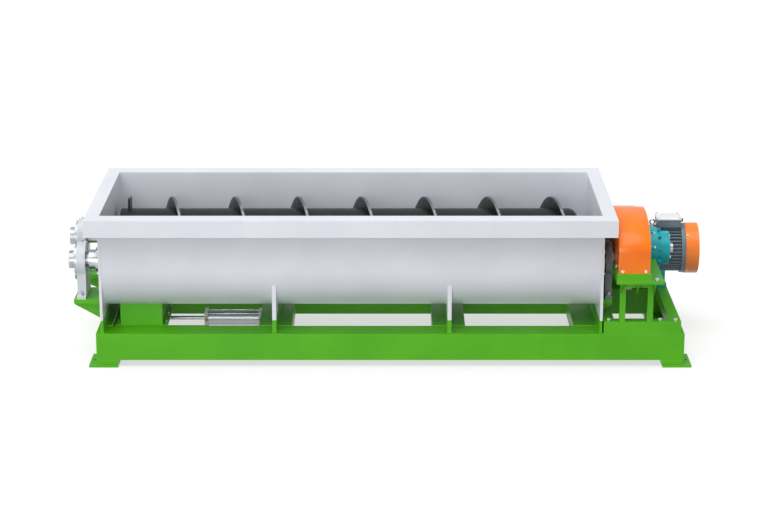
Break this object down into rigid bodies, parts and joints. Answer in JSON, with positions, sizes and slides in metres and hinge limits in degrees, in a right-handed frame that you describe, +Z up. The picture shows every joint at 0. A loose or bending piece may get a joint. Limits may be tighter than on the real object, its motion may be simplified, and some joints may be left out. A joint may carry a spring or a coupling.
{
  "type": "twin-shaft horizontal mixer",
  "caption": "Open trough mixer: a double-U trough on a box-section base, two counter-wound screws geared to one motor and reducer, and a bottom discharge slide gate.",
  "frame": {"origin": "centre of the four anchor bolt holes, on the floor", "axes": "+X from the bearing end to the drive end, along the shafts; +Y from the front to the back; +Z up"},
  "size_m": [3.974, 1.298, 0.947],
  "materials": {
    "frame_green": "semi-gloss enamel",
    "trough_grey": "semi-gloss enamel",
    "screw_dark": "satin enamel, worn at the flight edges",
    "bright_steel": "machined",
    "fastener_zinc": "zinc plated",
    "cylinder_aluminium": "extruded",
    "cap_steel": "satin",
    "guard_orange": "semi-gloss enamel",
    "reducer_teal": "semi-gloss enamel",
    "motor_grey": "satin enamel",
    "housing_grey": "satin enamel",
    "black_plastic": "moulded"
  },
  "bodies": {
    "machine": {"front_beam": "frame_green", "rear_beam": "frame_green", "cross_beam_1": "frame_green", "cross_beam_2": "frame_green", "cross_beam_3": "frame_green", "end_cross_beams": "frame_green", "foot_front_left": "frame_green", "foot_front_right": "frame_green", "foot_rear_left": "frame_green", "foot_rear_right": "frame_green", "trough_risers": "frame_green", "saddle_1_plate": "trough_grey", "saddle_2_plate": "trough_grey", "trough_shell": "trough_grey", "end_plate_left": "trough_grey", "end_plate_right": "trough_grey", "rim_frame": "trough_grey", "discharge_chute": "frame_green", "gate_guides": "frame_green", "gate_cylinder": "cylinder_aluminium", "near_glands": "bright_steel", "far_glands": "bright_steel", "gland_nuts": "fastener_zinc", "near_housing_left": "housing_grey", "far_housing_left": "housing_grey", "near_housing_right": "housing_grey", "far_housing_right": "housing_grey", "bearing_rings": "bright_steel", "bearing_caps": "cap_steel", "bearing_brackets": "frame_green", "bearing_bolts": "fastener_zinc", "gear_guard": "guard_orange", "guard_base": "frame_green", "drive_stand": "frame_green", "sub_base": "frame_green", "drive_bolts": "fastener_zinc", "reducer_case": "reducer_teal", "reducer_cover": "reducer_teal", "motor_frame": "motor_grey", "motor_pedestal": "reducer_teal", "fan_cover": "guard_orange", "terminal_box": "trough_grey", "cable_gland": "black_plastic", "lifting_eye": "fastener_zinc"},
    "near_screw": {"near_shaft": "bright_steel", "near_tube": "screw_dark", "near_flight": "screw_dark", "near_paddles": "screw_dark", "near_gear": "bright_steel"},
    "far_screw": {"far_shaft": "bright_steel", "far_tube": "screw_dark", "far_flight": "screw_dark", "far_paddles": "screw_dark", "far_gear": "bright_steel"},
    "pinion": {"drive_pinion": "bright_steel", "output_shaft": "bright_steel"},
    "motor_rotor": {"rotor_shaft": "bright_steel", "motor_fan": "black_plastic"},
    "gate": {"discharge_gate": "bright_steel", "gate_rod": "bright_steel"}
  },
  "joints": [
    {"name": "near_screw_turn", "type": "hinge", "parent": "machine", "child": "near_screw", "pos_m": [0, -0.2655, 0.599], "axis": [1, 0, 0], "continuous": true},
    {"name": "far_screw_turn", "type": "hinge", "parent": "machine", "child": "far_screw", "pos_m": [0, 0.2655, 0.599], "axis": [1, 0, 0], "continuous": true},
    {"name": "pinion_turn", "type": "hinge", "parent": "machine", "child": "pinion", "pos_m": [1.44, 0, 0.599], "axis": [1, 0, 0], "continuous": true},
    {"name": "motor_turn", "type": "hinge", "parent": "machine", "child": "motor_rotor", "pos_m": [1.8, 0.295, 0.513], "axis": [1, 0, 0], "continuous": true},
    {"name": "gate_slide", "type": "slide", "parent": "machine", "child": "gate", "axis": [1, 0, 0], "range_m": [0, 0.262]}
  ],
  "couplings": [
    {"joint": "far_screw_turn", "follows": "near_screw_turn", "ratio": 1},
    {"joint": "pinion_turn", "follows": "near_screw_turn", "ratio": -1.95},
    {"joint": "motor_turn", "follows": "near_screw_turn", "ratio": -31.2}
  ]
}
